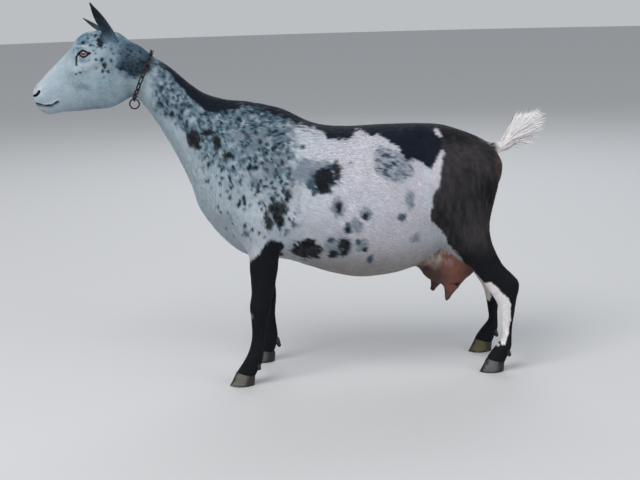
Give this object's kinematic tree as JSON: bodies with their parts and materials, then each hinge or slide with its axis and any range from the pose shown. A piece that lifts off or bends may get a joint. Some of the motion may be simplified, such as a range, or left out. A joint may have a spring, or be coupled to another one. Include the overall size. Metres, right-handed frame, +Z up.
{
  "type": "nigerian dwarf goat",
  "caption": "Still life-size model of a standing milking doe, a small dairy goat with a spotted coat, raised white tail and a chain collar.",
  "frame": {"origin": "middle of the footprint's box on the floor, below the middle of the trunk", "axes": "-X towards the muzzle, +X towards the tail, -Y towards the goat's left side, +Z up"},
  "size_m": [0.977, 0.2525, 0.7298],
  "materials": {
    "coat_pale": "short pale hair with black flecks and patches, matte",
    "coat_roan": "short blue-grey roan hair with black flecks, matte",
    "coat_dark": "short brown-black hair, slight sheen",
    "tail_hair": "long soft white hair",
    "udder_skin": "thinly haired reddish-brown skin",
    "hoof_horn": "dull grey-brown horn with dark toes",
    "eye": "wet gloss, pinkish-brown iris with a level slit pupil",
    "collar_steel": "blackened steel chain, satin"
  },
  "bodies": {
    "root": {"head": "coat_pale", "neck": "coat_roan", "torso": "coat_pale", "tail": "tail_hair", "leg_front_left": "coat_dark", "leg_front_right": "coat_dark", "leg_hind_left": "coat_dark", "leg_hind_right": "coat_dark", "ear_left": "coat_dark", "ear_right": "coat_dark", "eye_left": "eye", "eye_right": "eye", "udder": "udder_skin", "claw_fore_left_inner": "hoof_horn", "claw_fore_left_outer": "hoof_horn", "claw_fore_right_inner": "hoof_horn", "claw_fore_right_outer": "hoof_horn", "claw_hind_left_inner": "hoof_horn", "claw_hind_left_outer": "hoof_horn", "claw_hind_right_inner": "hoof_horn", "claw_hind_right_outer": "hoof_horn", "dewclaw_fore_left_inner": "hoof_horn", "dewclaw_fore_left_outer": "hoof_horn", "dewclaw_fore_right_inner": "hoof_horn", "dewclaw_fore_right_outer": "hoof_horn", "dewclaw_hind_left_inner": "hoof_horn", "dewclaw_hind_left_outer": "hoof_horn", "dewclaw_hind_right_inner": "hoof_horn", "dewclaw_hind_right_outer": "hoof_horn", "collar_link_01": "collar_steel", "collar_link_02": "collar_steel", "collar_link_03": "collar_steel", "collar_link_04": "collar_steel", "collar_link_05": "collar_steel", "collar_link_06": "collar_steel", "collar_link_07": "collar_steel", "collar_link_08": "collar_steel", "collar_link_09": "collar_steel", "collar_link_10": "collar_steel", "collar_link_11": "collar_steel", "collar_link_12": "collar_steel", "collar_link_13": "collar_steel", "collar_link_14": "collar_steel", "collar_link_15": "collar_steel", "collar_link_16": "collar_steel", "collar_link_17": "collar_steel", "collar_link_18": "collar_steel", "collar_link_19": "collar_steel", "collar_link_20": "collar_steel", "collar_link_21": "collar_steel", "collar_link_22": "collar_steel", "collar_ring": "collar_steel"}
  },
  "joints": []
}
